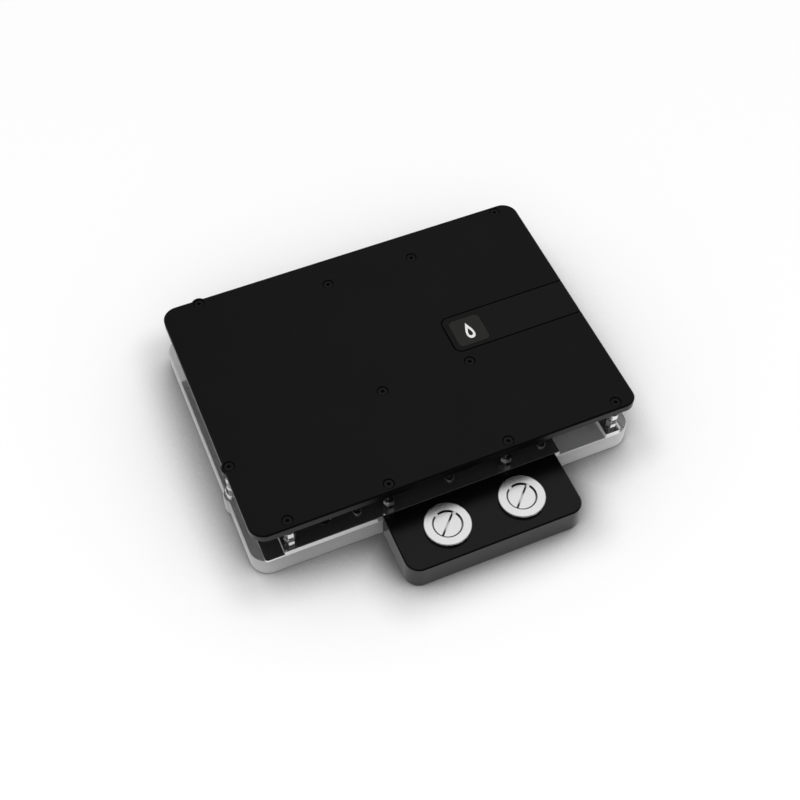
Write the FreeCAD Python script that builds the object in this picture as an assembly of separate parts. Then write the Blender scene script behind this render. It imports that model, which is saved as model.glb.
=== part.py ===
import FreeCAD, Part
import math
import os

# Liquid cooling cold plate for a processor card, in millimetres.
#
# Frame: the origin is the centre of the processor contact face, +X runs along the long side,
# +Y runs away from the terminal block and +Z points out of the contact face, towards the
# stiffening backplate. From the bottom up the stack is: clear coolant housing, nickel-plated
# cold plate, lower hexagon posts, the level of the circuit board (which isn't part of the
# product), upper hexagon spacers and the backplate. The terminal block with the four
# G1/4 ports stands against the front face of the housing.

Vec = FreeCAD.Vector

# ---------------------------------------------------------------- driving dimensions
# Backplate
plate_length = 162.4
plate_width = 118.0
plate_thickness = 4.0
plate_corner_radius = 6.5
plate_front_right_radius = 5.0
plate_edge_chamfer = 0.4
plate_left_reach = 89.4         # processor centre to the backplate's left edge
plate_front_reach = 74.5        # processor centre to the backplate's front edge
boss_radius = 2.3
boss_height = 3.2

# Inlaid strip of the backplate, which runs out at the right edge
inlay_length = 56.55
inlay_front_inset = 50.2        # backplate's front edge to the strip
inlay_width = 17.8
inlay_corner_radius = 3.0
inlay_depth = 1.6
inlay_groove = 0.55             # open groove all round the strip

# Badge tile let into the strip
badge_side = 13.6
badge_corner_radius = 2.0
badge_thickness = 1.0
badge_proud = 0.2
badge_inset = 2.2               # strip's left end to the badge
badge_front_shift = 0.4         # badge in front of the strip's centre line

# Screw and post places: from the processor centre, or inset from an edge of the backplate
die_screw_half_x = 19.2
die_screw_half_y = 30.2
front_screw_inset = 3.4
front_left_screw_inset = 14.7
front_right_screw_inset = 8.8
front_middle_left_x = -33.6
front_middle_right_x = 16.9
back_right_screw_side_inset = 9.2
back_right_screw_back_inset = 3.2
back_ear_side_inset = 16.4
back_ear_inset = 2.1
left_ear_front_inset = 34.5
left_ear_inset = 2.2
ear_radius = 3.2                # round ears of the backplate and cold plate

# Screw, spacer and post stack (M2.5)
thread_radius = 1.25
clearance_radius = 1.35
counterbore_radius = 2.3
counterbore_depth = 2.0
screw_head_radius = 2.05
screw_head_height = 1.7
screw_socket_flats = 1.5
screw_socket_depth = 1.0
screw_edge_round = 0.25
hexagon_flats = 4.0
hexagon_chamfer = 0.25
spacer_height = 3.3
neck_height = 0.6               # bare stud between spacer and post
post_height = 6.2
spacer_engagement = 2.4
plate_engagement = 2.0
bore_spare = 0.2                # room left below each stud

# Cold plate
cold_plate_thickness = 3.0
cold_plate_setback = 0.1        # behind the housing's front face and before its back face
cold_plate_left_inset = 3.4     # from the backplate's left edge
cold_plate_right_inset = 5.1
cold_plate_back_radius = 6.0
cold_plate_front_radius = 1.2
cold_plate_edge_chamfer = 0.25
pedestal_border = 3.0           # pedestal past the ends of the skived channels
pedestal_side_border = 4.0
pedestal_height = 3.2
pad_drop = 0.6                  # memory pads stand lower than the contact face
pad_corner_radius = 1.5
side_pad_inner_x = 28.0
side_pad_width = 14.0
side_pad_half_length = 26.0
front_pad_half_length = 24.0
front_pad_near_y = -42.0
front_pad_depth = 12.0
converter_pad_left_x = -68.0
converter_pad_width = 14.0
converter_pad_front_y = -50.0
converter_pad_length = 70.0
converter_pad_drop = 1.2
notch_right_inset = 7.1         # cold plate's right edge to the notch
notch_width = 21.1
notch_depth = 15.8
notch_corner_radius = 2.0
step_width = 7.9                # thin front-left corner
step_length = 22.0
step_thickness = 1.2
relief_side_inset = 27.1        # cold plate's left edge to the relief pocket
relief_front_inset = 8.2
relief_radius = 2.8
relief_depth = 1.8

# Skived channels in the underside, over the processor
fin_count = 22
fin_pitch = 1.3
fin_gap = 0.65
fin_channel_length = 38.0
fin_channel_height = 3.3

# Coolant housing
housing_thickness = 9.5
housing_left_proud = 1.2        # past the backplate's left edge
housing_right_proud = 0.8
housing_front_setback = 0.1
housing_corner_radius = 7.5
housing_edge_chamfer = 0.45
left_ear_housing_radius = 4.6
back_ear_housing_radius = 3.6
channel_depth = 5.5
channel_width = 10.0
inlet_width = 12.0
inlet_straight = 17.0           # inlet run before it bends to the jet slot
outlet_straight = 22.0
channel_wall = 2.0              # jet plate to the rear outlet run

# Jet plate over the channels
jet_plate_border = 1.5          # past the windows
jet_plate_side_border = 3.0     # past the ends of slot and windows
jet_plate_thickness = 0.8
jet_plate_radius = 2.0
jet_slot_width = 1.6
jet_window_width = 3.0
jet_window_spare = 0.5          # windows reach this far past the channels' ends

# Main seal
seal_half_length = 40.0
seal_centre_x = -1.4
seal_front_inset = 10.9         # housing's front face to the seal
seal_back_inset = 10.0
seal_corner_radius = 8.0
seal_width = 1.8
seal_height = 1.2
seal_round = 0.4

# Cold plate screws and their threaded inserts, in a ring round the main seal
plate_screw_front_inset = 6.0
plate_screw_back_inset = 6.0
plate_screw_left_gap = 4.6      # seal to the left column of screws
plate_screw_right_gap = 6.0
plate_screw_middle_x = -6.5
plate_screw_right_x = 34.0
plate_screw_rows = 4
pan_head_radius = 1.7
pan_head_height = 0.9
pan_socket_depth = 0.6
insert_radius = 2.0
insert_length = 4.4

# Terminal block
terminal_length = 75.1
terminal_depth = 27.7
terminal_height = 12.8
terminal_centre_x = -0.05
terminal_corner_radius = 6.0
terminal_edge_chamfer = 0.5
lug_width = 6.4
lug_depth = 9.0
lug_height = 3.8
lug_spacing = 28.3
lug_screw_inset = 5.0
lug_head_radius = 2.3
lug_insert_radius = 1.9
lug_insert_length = 3.5

# G1/4 ports
port_spacing = 31.9
port_inset = 13.5               # terminal's rear face to the port axes
port_radius = 5.72
port_thread_length = 5.0
port_relief_radius = 6.6        # run-out groove between the two threads of a port
port_face_radius = 9.6
port_face_depth = 0.3
passage_width = 11.0
passage_height = 2.4
passage_reach = 20.0            # from the housing's front face to the channels
terminal_seal_land = 0.3
terminal_seal_width = 1.2
terminal_seal_depth = 0.9

# Port plugs
plug_flange_radius = 9.5
plug_flange_height = 1.5
plug_flange_round = 0.35
plug_thread_length = 4.4
plug_groove_radius = 5.4        # turned disc with the slot, inside the ring groove
plug_groove_width = 0.7
plug_groove_depth = 1.1
plug_disc_recess = 0.6          # disc below the flange's face
plug_slot_width = 0.8
plug_slot_depth = 1.2           # below the disc
plug_slot_turn = 46.0
plug_seal_inner_radius = 6.9
plug_seal_width = 1.5
plug_seal_depth = 0.9
plug_seal_round = 0.3

# ---------------------------------------------------------------- levels and edges
cold_plate_top = -pedestal_height
cold_plate_bottom = cold_plate_top - cold_plate_thickness
housing_bottom = cold_plate_bottom - housing_thickness
post_top = cold_plate_top + post_height
spacer_bottom = post_top + neck_height
spacer_top = spacer_bottom + spacer_height
plate_bottom = spacer_top + boss_height
plate_top = plate_bottom + plate_thickness

plate_left = -plate_left_reach
plate_right = plate_left + plate_length
plate_front = -plate_front_reach
plate_back = plate_front + plate_width
housing_left = plate_left - housing_left_proud
housing_right = plate_right + housing_right_proud
housing_front = plate_front + housing_front_setback
housing_back = plate_back
cold_plate_left = plate_left + cold_plate_left_inset
cold_plate_right = plate_right - cold_plate_right_inset
cold_plate_front = housing_front + cold_plate_setback
cold_plate_back = housing_back - cold_plate_setback

terminal_top = housing_bottom + terminal_height
terminal_front = housing_front - terminal_depth
port_y = housing_front - port_inset
port_places = [(terminal_centre_x + side * port_spacing / 2, port_y) for side in (-1, 1)]
lug_places = [terminal_centre_x + side * lug_spacing for side in (-1, 0, 1)]
port_face_z = housing_bottom + port_face_depth
passage_level = port_face_z + port_thread_length + passage_height / 2

inlay_left = plate_right - inlay_length
inlay_front = plate_front + inlay_front_inset

left_ear = (plate_left + left_ear_inset, plate_front + left_ear_front_inset)
back_ear = (plate_left + back_ear_side_inset, plate_back - back_ear_inset)
back_right_post = (plate_right - back_right_screw_side_inset,
                   plate_back - back_right_screw_back_inset)
front_post_xs = (plate_left + front_left_screw_inset, front_middle_left_x,
                 front_middle_right_x, plate_right - front_right_screw_inset)
post_places = [(x, plate_front + front_screw_inset) for x in front_post_xs]
post_places += [(sx * die_screw_half_x, sy * die_screw_half_y) for sx in (-1, 1) for sy in (-1, 1)]
post_places += [back_right_post, back_ear, left_ear]

jet_slot_length = (fin_count - 1) * fin_pitch + fin_gap
jet_window_offset = fin_channel_length / 2 + jet_window_spare - jet_window_width / 2
jet_plate_half_length = jet_window_offset + jet_window_width / 2 + jet_plate_border
jet_plate_half_width = jet_slot_length / 2 + jet_plate_side_border
pedestal_half_length = fin_channel_length / 2 + pedestal_border
pedestal_half_width = jet_slot_length / 2 + pedestal_side_border

seal_left = seal_centre_x - seal_half_length
seal_right = seal_centre_x + seal_half_length
seal_front = housing_front + seal_front_inset
seal_back = housing_back - seal_back_inset

screw_front_y = housing_front + plate_screw_front_inset
screw_back_y = housing_back - plate_screw_back_inset
screw_row_pitch = (screw_back_y - screw_front_y) / (plate_screw_rows - 1)
screw_left_x = seal_left - plate_screw_left_gap
screw_right_x = seal_right + plate_screw_right_gap
plate_screw_places = [(screw_left_x, screw_front_y), (plate_screw_middle_x, screw_front_y),
                      (plate_screw_right_x, screw_front_y), (0.0, screw_back_y)]
plate_screw_places += [(screw_left_x, screw_front_y + row * screw_row_pitch)
                       for row in range(1, plate_screw_rows)]
plate_screw_places += [(screw_right_x, screw_front_y + row * screw_row_pitch)
                       for row in range(1, plate_screw_rows)]


# ---------------------------------------------------------------- basic forms
def rounded_rectangle(x0, x1, y0, y1, radii, z):
    """Closed wire of a rectangle; radii run front-left, front-right, back-right, back-left."""
    corners = ((x0, y0, 1, 1), (x1, y0, -1, 1), (x1, y1, -1, -1), (x0, y1, 1, -1))
    starts = (180, 270, 0, 90)
    arcs = []
    for (x, y, inward_x, inward_y), radius, start in zip(corners, radii, starts):
        centre = Vec(x + inward_x * radius, y + inward_y * radius, z)
        ends = [centre + Vec(math.cos(math.radians(a)), math.sin(math.radians(a)), 0) * radius
                for a in (start, start + 45, start + 90)]
        arcs.append(ends)
    edges = []
    for i, (first, middle, last) in enumerate(arcs):
        if radii[i] > 0:
            edges.append(Part.Arc(first, middle, last).toShape())
        following = arcs[(i + 1) % 4][0]
        if last.distanceToPoint(following) > 1e-6:
            edges.append(Part.makeLine(last, following))
    return Part.Wire(edges)


def slab(x0, x1, y0, y1, z0, z1, radii=0.0):
    """Upright block with rounded vertical corners; one radius or four."""
    if not isinstance(radii, (tuple, list)):
        radii = (radii,) * 4
    face = Part.Face(rounded_rectangle(x0, x1, y0, y1, radii, z0))
    return face.extrude(Vec(0, 0, z1 - z0))


def peg(place, radius, z0, z1):
    """Upright cylinder between two levels."""
    return Part.makeCylinder(radius, z1 - z0, Vec(place[0], place[1], z0))


def hexagon(place, flats, z0, z1):
    """Upright hexagonal bar with one flat towards the front."""
    radius = flats / math.sqrt(3)
    corners = [Vec(place[0] + radius * math.sin(math.radians(60 * i + 30)),
                   place[1] - radius * math.cos(math.radians(60 * i + 30)), z0) for i in range(7)]
    return Part.Face(Part.makePolygon(corners)).extrude(Vec(0, 0, z1 - z0))


def turned(place, z, profile):
    """Solid of revolution about an upright axis; profile is (radius, height) points."""
    points = [Vec(place[0] + r, place[1], z + h) for r, h in profile]
    face = Part.Face(Part.makePolygon(points + points[:1]))
    return face.revolve(Vec(place[0], place[1], z), Vec(0, 0, 1), 360)


def union(shapes):
    """One solid from shapes that meet."""
    first, rest = shapes[0], list(shapes[1:])
    return first.fuse(rest).removeSplitter() if rest else first


def without(body, tools):
    """Body with every tool cut out."""
    return body.cut(list(tools))


def edges_at(shape, z, keep=None):
    """Edges of a shape that lie in the level z."""
    found = [e for e in shape.Edges
             if abs(e.BoundBox.ZMin - z) < 1e-5 and abs(e.BoundBox.ZMax - z) < 1e-5]
    return [e for e in found if keep is None or keep(e)]


def run_channel(points, width, z0, z1):
    """Channel of constant width with round ends and bends along straight runs."""
    pieces = [peg(p, width / 2, z0, z1) for p in points]
    for (ax, ay), (bx, by) in zip(points, points[1:]):
        length = math.hypot(bx - ax, by - ay)
        bar = slab(0, length, -width / 2, width / 2, z0, z1)
        bar.rotate(Vec(0, 0, 0), Vec(0, 0, 1), math.degrees(math.atan2(by - ay, bx - ax)))
        bar.translate(Vec(ax, ay, 0))
        pieces.append(bar)
    return union(pieces)


def stadium(x, z, width, height, y0, y1):
    """Bar along Y with a flat oval section centred on x, z."""
    bar = slab(x - width / 2, x + width / 2, z - height / 2, z + height / 2, 0, y1 - y0, height / 2)
    bar.rotate(Vec(0, 0, 0), Vec(1, 0, 0), 90)
    bar.translate(Vec(0, y1, 0))
    return bar


# ---------------------------------------------------------------- backplate group
def plate_blank():
    """Backplate outline with its two ears and the chamfered upper edge, before any pocket."""
    corners = (plate_corner_radius, plate_front_right_radius, plate_corner_radius,
               plate_corner_radius)
    blank = slab(plate_left, plate_right, plate_front, plate_back, plate_bottom, plate_top,
                 corners)
    ears = [peg(p, ear_radius, plate_bottom, plate_top) for p in (left_ear, back_ear)]
    blank = union([blank] + ears)
    return blank.makeChamfer(plate_edge_chamfer, edges_at(blank, plate_top))


def inlay_outline(grow, z0, z1):
    """Strip outline grown by the groove; it runs out past the plate's right edge."""
    radius = inlay_corner_radius + grow
    return slab(inlay_left - grow, plate_right + plate_edge_chamfer,
                inlay_front - grow, inlay_front + inlay_width + grow,
                z0, z1, (radius, 0, 0, radius))


def badge_outline(z0, z1):
    """Rounded square seat of the badge tile."""
    x0 = inlay_left + badge_inset
    y0 = inlay_front + (inlay_width - badge_side) / 2 - badge_front_shift
    return slab(x0, x0 + badge_side, y0, y0 + badge_side, z0, z1, badge_corner_radius)


def make_backplate():
    bosses = [peg(p, boss_radius, spacer_top, plate_bottom) for p in post_places]
    body = union([plate_blank()] + bosses)
    cuts = [inlay_outline(inlay_groove, plate_top - inlay_depth, plate_top + 1)]
    for place in post_places:
        cuts.append(peg(place, clearance_radius, spacer_top - 1, plate_top))
        cuts.append(peg(place, counterbore_radius, plate_top - counterbore_depth, plate_top + 1))
    return without(body, cuts)


def make_backplate_inlay():
    strip = plate_blank().common(inlay_outline(0, plate_top - inlay_depth, plate_top + 1))
    seat = badge_outline(plate_top + badge_proud - badge_thickness, plate_top + 1)
    return without(strip, [seat])


def make_badge_tile():
    top = plate_top + badge_proud
    tile = badge_outline(top - badge_thickness, top)
    return tile.makeChamfer(badge_proud / 2, edges_at(tile, top))


# ---------------------------------------------------------------- screws, spacers and posts
def cap_screw(place, seat, head_radius, head_height, socket_depth, shank_end):
    """Socket screw whose head stands on the level seat."""
    head = peg(place, head_radius, seat, seat + head_height)
    head = head.makeFillet(screw_edge_round, edges_at(head, seat + head_height))
    body = union([head, peg(place, thread_radius, shank_end, seat)])
    socket = hexagon(place, screw_socket_flats, seat + head_height - socket_depth,
                     seat + head_height + 1)
    return without(body, [socket])


def hexagon_bar(place, z0, z1):
    """Hexagonal bar with its corners chamfered at both ends."""
    bar = hexagon(place, hexagon_flats, z0, z1)
    corner = hexagon_flats / math.sqrt(3)
    inner = corner - hexagon_chamfer
    drum = turned(place, z0, ((0, 0), (inner, 0), (corner, hexagon_chamfer),
                              (corner, z1 - z0 - hexagon_chamfer), (inner, z1 - z0),
                              (0, z1 - z0)))
    return bar.common(drum)


def standoff(place, z0, z1, stud_length, bore_depth):
    """Hexagonal bar with a stud below and a threaded bore above."""
    body = union([hexagon_bar(place, z0, z1), peg(place, thread_radius, z0 - stud_length, z0)])
    return without(body, [peg(place, thread_radius, z1 - bore_depth, z1 + 1)])


def make_backplate_screws():
    seat = plate_top - counterbore_depth
    return [cap_screw(p, seat, screw_head_radius, screw_head_height, screw_socket_depth,
                      spacer_top - spacer_engagement) for p in post_places]


def make_upper_spacers():
    stud = neck_height + spacer_engagement
    bore = spacer_engagement + bore_spare
    return [standoff(p, spacer_bottom, spacer_top, stud, bore) for p in post_places]


def make_lower_posts():
    bore = spacer_engagement + bore_spare
    return [standoff(p, cold_plate_top, post_top, plate_engagement, bore) for p in post_places]


# ---------------------------------------------------------------- cold plate
def contact_pads():
    """Raised lands above the plate: pedestal, memory pads and converter pad."""
    base = cold_plate_top
    pads = [slab(-pedestal_half_length, pedestal_half_length, -pedestal_half_width,
                 pedestal_half_width, base, 0, pad_corner_radius)]
    side_outer_x = side_pad_inner_x + side_pad_width
    for x0, x1 in ((-side_outer_x, -side_pad_inner_x), (side_pad_inner_x, side_outer_x)):
        pads.append(slab(x0, x1, -side_pad_half_length, side_pad_half_length,
                         base, -pad_drop, pad_corner_radius))
    pads.append(slab(-front_pad_half_length, front_pad_half_length,
                     front_pad_near_y - front_pad_depth, front_pad_near_y,
                     base, -pad_drop, pad_corner_radius))
    pads.append(slab(converter_pad_left_x, converter_pad_left_x + converter_pad_width,
                     converter_pad_front_y, converter_pad_front_y + converter_pad_length,
                     base, -converter_pad_drop, pad_corner_radius))
    return pads


def skived_channels():
    """Narrow parallel channels cut up into the underside below the processor."""
    half = fin_channel_length / 2
    first = -jet_slot_length / 2
    return [slab(-half, half, first + i * fin_pitch, first + i * fin_pitch + fin_gap,
                 cold_plate_bottom - 1, cold_plate_bottom + fin_channel_height)
            for i in range(fin_count)]


def make_cold_plate():
    radii = (cold_plate_front_radius, cold_plate_front_radius,
             cold_plate_back_radius, cold_plate_back_radius)
    body = slab(cold_plate_left, cold_plate_right, cold_plate_front, cold_plate_back,
                cold_plate_bottom, cold_plate_top, radii)
    ears = [peg(p, ear_radius, cold_plate_bottom, cold_plate_top) for p in (left_ear, back_ear)]
    body = union([body] + ears)
    body = body.makeChamfer(cold_plate_edge_chamfer, edges_at(body, cold_plate_top))
    body = union([body] + contact_pads())
    notch_radii = (0, 0, notch_corner_radius, notch_corner_radius)
    notch_right = cold_plate_right - notch_right_inset
    cuts = [slab(notch_right - notch_width, notch_right, cold_plate_front - 1,
                 cold_plate_front + notch_depth, cold_plate_bottom - 1, cold_plate_top + 1,
                 notch_radii)]
    cuts.append(slab(cold_plate_left - 1, cold_plate_left + step_width, cold_plate_front - 1,
                     cold_plate_front + step_length, cold_plate_bottom + step_thickness,
                     cold_plate_top + 1))
    relief = (cold_plate_left + relief_side_inset, cold_plate_front + relief_front_inset)
    cuts.append(peg(relief, relief_radius, cold_plate_top - relief_depth, cold_plate_top + 1))
    cuts += [peg(p, thread_radius, cold_plate_top - plate_engagement - bore_spare,
                 cold_plate_top + 1) for p in post_places]
    cuts += [peg(p, clearance_radius, cold_plate_bottom - 1, cold_plate_top + 1)
             for p in plate_screw_places]
    return without(body, cuts + skived_channels())


def make_cold_plate_screws():
    end = cold_plate_bottom - insert_length
    return [cap_screw(p, cold_plate_top, pan_head_radius, pan_head_height, pan_socket_depth, end)
            for p in plate_screw_places]


def make_housing_inserts():
    inserts = []
    for place in plate_screw_places:
        bush = peg(place, insert_radius, cold_plate_bottom - insert_length, cold_plate_bottom)
        bore = peg(place, thread_radius, cold_plate_bottom - insert_length - 1,
                   cold_plate_bottom + 1)
        inserts.append(without(bush, [bore]))
    return inserts


# ---------------------------------------------------------------- coolant housing
def coolant_channels():
    """Inlet run to the jet slot and the outlet run around it, open towards the cold plate."""
    top = cold_plate_bottom + 1
    floor = cold_plate_bottom - channel_depth
    start = housing_front + passage_reach
    (inlet_x, _), (outlet_x, _) = port_places
    jet_end = jet_slot_length / 2 - inlet_width / 2
    inlet = run_channel(((inlet_x, start), (inlet_x, start + inlet_straight),
                         (0, -jet_end), (0, jet_end)), inlet_width, floor, top)
    side = jet_window_offset - jet_window_width / 2 + channel_width / 2
    rear = jet_plate_half_width + channel_wall + channel_width / 2
    outlet = run_channel(((outlet_x, start), (outlet_x, start + outlet_straight), (side, -jet_end),
                          (side, rear), (-side, rear), (-side, -jet_end)),
                         channel_width, floor, top)
    return [inlet, outlet]


def seal_ring(grow):
    """Main seal's gland and ring, from one rounded rectangle."""
    top, bottom = cold_plate_bottom, cold_plate_bottom - seal_height
    outer = slab(seal_left, seal_right, seal_front, seal_back,
                 bottom, top + grow, seal_corner_radius)
    inner = slab(seal_left + seal_width, seal_right - seal_width,
                 seal_front + seal_width, seal_back - seal_width,
                 bottom - 1, top + grow + 1, seal_corner_radius - seal_width)
    return without(outer, [inner])


def make_housing():
    body = slab(housing_left, housing_right, housing_front, housing_back,
                housing_bottom, cold_plate_bottom, housing_corner_radius)
    ears = [peg(left_ear, left_ear_housing_radius, housing_bottom, cold_plate_bottom),
            peg(back_ear, back_ear_housing_radius, housing_bottom, cold_plate_bottom)]
    body = union([body] + ears)
    body = body.makeChamfer(housing_edge_chamfer, edges_at(body, housing_bottom)
                            + edges_at(body, cold_plate_bottom))
    cuts = coolant_channels() + [seal_ring(1.0), jet_plate_blank(1.0)]
    for place in plate_screw_places:
        cuts.append(peg(place, insert_radius, cold_plate_bottom - insert_length,
                        cold_plate_bottom + 1))
    for x, _ in port_places:
        cuts.append(stadium(x, passage_level, passage_width, passage_height,
                            housing_front - 1, housing_front + passage_reach))
    lug_top = housing_bottom + lug_height
    for x in lug_places:
        cuts.append(lug_block(x, housing_front - 1, lug_top))
        cuts.append(peg((x, housing_front + lug_screw_inset), lug_insert_radius,
                        lug_top - 1, lug_top + lug_insert_length))
    return without(body, cuts)


def jet_plate_blank(grow):
    """Jet plate outline at the top of the housing, under the skived channels."""
    return slab(-jet_plate_half_length, jet_plate_half_length,
                -jet_plate_half_width, jet_plate_half_width,
                cold_plate_bottom - jet_plate_thickness, cold_plate_bottom + grow,
                jet_plate_radius)


def make_jet_plate():
    z0, z1 = cold_plate_bottom - jet_plate_thickness - 1, cold_plate_bottom + 1
    half = jet_slot_length / 2
    cuts = [slab(x - width / 2, x + width / 2, -half, half, z0, z1, width / 2)
            for x, width in ((0, jet_slot_width), (-jet_window_offset, jet_window_width),
                             (jet_window_offset, jet_window_width))]
    return without(jet_plate_blank(0), cuts)


def make_housing_seal():
    ring = seal_ring(0)
    rounded = edges_at(ring, cold_plate_bottom) + edges_at(ring, cold_plate_bottom - seal_height)
    return ring.makeFillet(seal_round, rounded)


# ---------------------------------------------------------------- terminal block
def lug_block(x, front, top):
    """Lug under the housing with a rounded far end."""
    return slab(x - lug_width / 2, x + lug_width / 2, front, housing_front + lug_depth,
                housing_bottom, top, (0, 0, lug_width / 4, lug_width / 4))


def oval_ring(x, y0, y1):
    """Flat oval seal round a passage, between two upright planes."""
    inner = terminal_seal_land * 2
    outer = inner + terminal_seal_width * 2
    ring = stadium(x, passage_level, passage_width + outer, passage_height + outer, y0, y1)
    hole = stadium(x, passage_level, passage_width + inner, passage_height + inner,
                   y0 - 1, y1 + 1)
    return without(ring, [hole])


def make_terminal_block():
    half = terminal_length / 2
    left, right = terminal_centre_x - half, terminal_centre_x + half
    body = slab(left, right, terminal_front, housing_front, housing_bottom, terminal_top,
                (terminal_corner_radius, terminal_corner_radius, 0, 0))

    def off_the_rear(edge):
        return edge.BoundBox.YMin < housing_front - 1e-5

    rims = [e for z in (housing_bottom, terminal_top) for e in edges_at(body, z, off_the_rear)]
    body = body.makeChamfer(terminal_edge_chamfer, rims)
    lugs = [lug_block(x, housing_front - 2, housing_bottom + lug_height) for x in lug_places]
    body = union([body] + lugs)
    cuts = []
    for x, y in port_places:
        cuts.append(peg((x, y), port_radius, housing_bottom - 1, terminal_top + 1))
        cuts.append(peg((x, y), port_face_radius, housing_bottom - 1, port_face_z))
        cuts.append(peg((x, y), port_relief_radius, passage_level - passage_height / 2,
                        passage_level + passage_height / 2))
        cuts.append(stadium(x, passage_level, passage_width, passage_height,
                            y, housing_front + 1))
        cuts.append(oval_ring(x, housing_front - terminal_seal_depth, housing_front + 1))
    for x in lug_places:
        place = (x, housing_front + lug_screw_inset)
        cuts.append(peg(place, clearance_radius, housing_bottom - 1,
                        housing_bottom + lug_height + 1))
        cuts.append(turned(place, housing_bottom, countersink_profile()))
    return without(body, cuts)


def countersink_profile():
    """Ninety degree countersunk head, from the underside up."""
    depth = lug_head_radius - thread_radius
    return ((0, 0), (lug_head_radius, 0), (thread_radius, depth), (0, depth))


def make_terminal_screws():
    screws = []
    for x in lug_places:
        place = (x, housing_front + lug_screw_inset)
        head = turned(place, housing_bottom, countersink_profile())
        shank = peg(place, thread_radius, housing_bottom,
                    housing_bottom + lug_height + lug_insert_length)
        socket = hexagon(place, screw_socket_flats, housing_bottom - 1,
                         housing_bottom + screw_socket_depth)
        screws.append(without(union([head, shank]), [socket]))
    return screws


def make_terminal_inserts():
    inserts = []
    z0 = housing_bottom + lug_height
    for x in lug_places:
        place = (x, housing_front + lug_screw_inset)
        bush = peg(place, lug_insert_radius, z0, z0 + lug_insert_length)
        bore = peg(place, thread_radius, z0 - 1, z0 + lug_insert_length + 1)
        inserts.append(without(bush, [bore]))
    return inserts


def make_terminal_seal(x):
    return oval_ring(x, housing_front - terminal_seal_depth, housing_front)


# ---------------------------------------------------------------- port plugs
def plug_seal_profile(corner):
    """Section of the plug's seal ring; corner cuts its four corners."""
    inner = plug_seal_inner_radius
    outer = inner + plug_seal_width
    depth = plug_seal_depth
    if corner == 0:
        return ((inner, 0), (outer, 0), (outer, depth), (inner, depth))
    return ((inner + corner, 0), (outer - corner, 0), (outer, corner), (outer, depth - corner),
            (outer - corner, depth), (inner + corner, depth), (inner, depth - corner),
            (inner, corner))


def make_plug(place):
    flange = peg(place, plug_flange_radius, terminal_top, terminal_top + plug_flange_height)
    flange = flange.makeFillet(plug_flange_round,
                               edges_at(flange, terminal_top + plug_flange_height))
    body = union([flange, peg(place, port_radius, terminal_top - plug_thread_length,
                              terminal_top)])
    face = terminal_top + plug_flange_height
    groove = ((plug_groove_radius, -plug_groove_depth),
              (plug_groove_radius + plug_groove_width, -plug_groove_depth),
              (plug_groove_radius + plug_groove_width, 1), (plug_groove_radius, 1))
    disc = peg(place, plug_groove_radius, face - plug_disc_recess, face + 1)
    slot = slab(-plug_groove_radius, plug_groove_radius, -plug_slot_width / 2,
                plug_slot_width / 2, face - plug_disc_recess - plug_slot_depth, face + 1)
    slot.rotate(Vec(0, 0, 0), Vec(0, 0, 1), plug_slot_turn)
    slot.translate(Vec(place[0], place[1], 0))
    cuts = [turned(place, face, groove), disc, slot,
            turned(place, terminal_top, plug_seal_profile(0))]
    return without(body, cuts)


def make_plug_seal(place):
    return turned(place, terminal_top, plug_seal_profile(plug_seal_round))


# ---------------------------------------------------------------- all sub-parts
def as_group(solids):
    return Part.makeCompound(solids)


def sub_parts():
    left_port, right_port = port_places
    return {
        "backplate": make_backplate(),
        "backplate_inlay": make_backplate_inlay(),
        "badge_tile": make_badge_tile(),
        "backplate_screws": as_group(make_backplate_screws()),
        "upper_spacers": as_group(make_upper_spacers()),
        "lower_posts": as_group(make_lower_posts()),
        "cold_plate": make_cold_plate(),
        "cold_plate_screws": as_group(make_cold_plate_screws()),
        "housing_inserts": as_group(make_housing_inserts()),
        "coolant_housing": make_housing(),
        "housing_seal": make_housing_seal(),
        "jet_plate": make_jet_plate(),
        "terminal_block": make_terminal_block(),
        "terminal_screws": as_group(make_terminal_screws()),
        "terminal_inserts": as_group(make_terminal_inserts()),
        "terminal_seal_left": make_terminal_seal(left_port[0]),
        "terminal_seal_right": make_terminal_seal(right_port[0]),
        "plug_left": make_plug(left_port),
        "plug_right": make_plug(right_port),
        "plug_seal_left": make_plug_seal(left_port),
        "plug_seal_right": make_plug_seal(right_port),
    }


os.makedirs("parts", exist_ok=True)
for name, shape in sub_parts().items():
    shape.exportStep("parts/" + name + ".step")
    print(name, len(shape.Solids), "solids, valid", shape.isValid(), "volume", round(shape.Volume, 2))
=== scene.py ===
"""Looks of a liquid cooling cold plate: finishes of its metal, acrylic and plastic pieces, the
fine threads and print that the solid model leaves out, and a pale studio round them."""

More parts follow.
